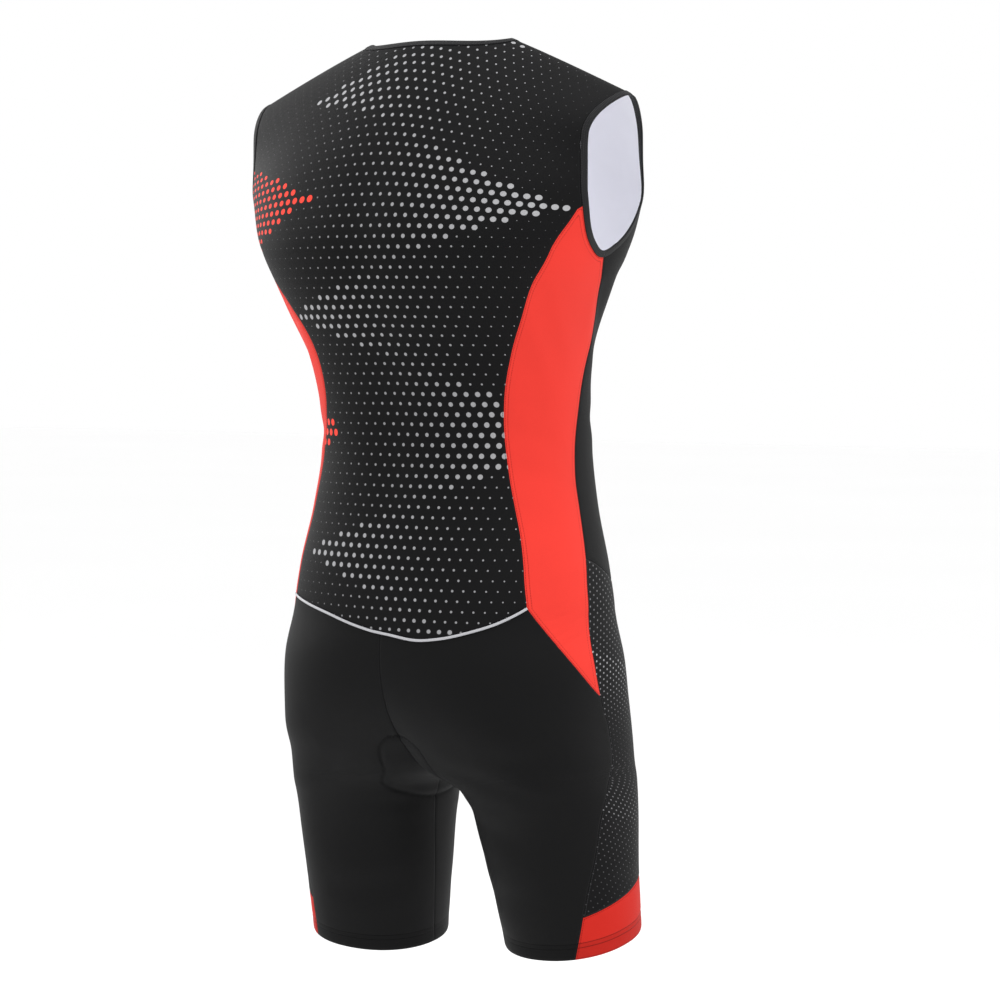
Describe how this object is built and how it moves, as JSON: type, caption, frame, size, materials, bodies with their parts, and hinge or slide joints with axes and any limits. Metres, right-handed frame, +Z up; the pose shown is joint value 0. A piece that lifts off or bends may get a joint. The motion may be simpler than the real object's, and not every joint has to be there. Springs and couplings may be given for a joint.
{
  "type": "triathlon suit",
  "caption": "Sleeveless one-piece triathlon suit in its worn, hollow form: printed back, red side panels, thigh-length shorts with a seat pad, front zip with a hinged pull tab.",
  "frame": {"origin": "mid-plane at shoulder height, on the body's axis, where the wearer's shoulders hold the suit", "axes": "+Z up, +Y towards the back, +X towards the wearer's left"},
  "size_m": [0.4214, 0.2595, 0.8736],
  "materials": {
    "black_knit": "smooth stretch knit, soft sheen",
    "printed_knit": "stretch knit with a halftone dot print",
    "red_knit": "smooth stretch knit, soft sheen",
    "binding_tape": "folded elastic binding",
    "reflective_piping": "pale reflective piping",
    "pad_fleece": "brushed stretch fleece over foam",
    "zip_tape": "woven zip tape",
    "zip_chain": "moulded nylon coil",
    "zip_metal": "black enamel"
  },
  "bodies": {
    "suit": {"back_panel": "printed_knit", "front_panel_left": "black_knit", "side_panel_left": "red_knit", "shorts_back_left": "black_knit", "shorts_front_left": "black_knit", "leg_side_left": "printed_knit", "cuff_left": "red_knit", "armhole_binding_left": "binding_tape", "front_panel_right": "black_knit", "side_panel_right": "red_knit", "shorts_back_right": "black_knit", "shorts_front_right": "black_knit", "leg_side_right": "printed_knit", "cuff_right": "red_knit", "armhole_binding_right": "binding_tape", "neck_binding": "binding_tape", "back_piping": "reflective_piping", "chamois_pad": "pad_fleece", "zip_chain": "zip_chain", "zip_tape_left": "zip_tape", "zip_tape_right": "zip_tape", "zip_slider": "zip_metal"},
    "pull_tab": {"zip_pull": "zip_metal"}
  },
  "joints": [
    {"name": "pull_tab_hinge", "type": "hinge", "parent": "suit", "child": "pull_tab", "pos_m": [0, -0.07437, -0.05971], "axis": [-1, 0, 0], "range_deg": [0, 165]}
  ]
}
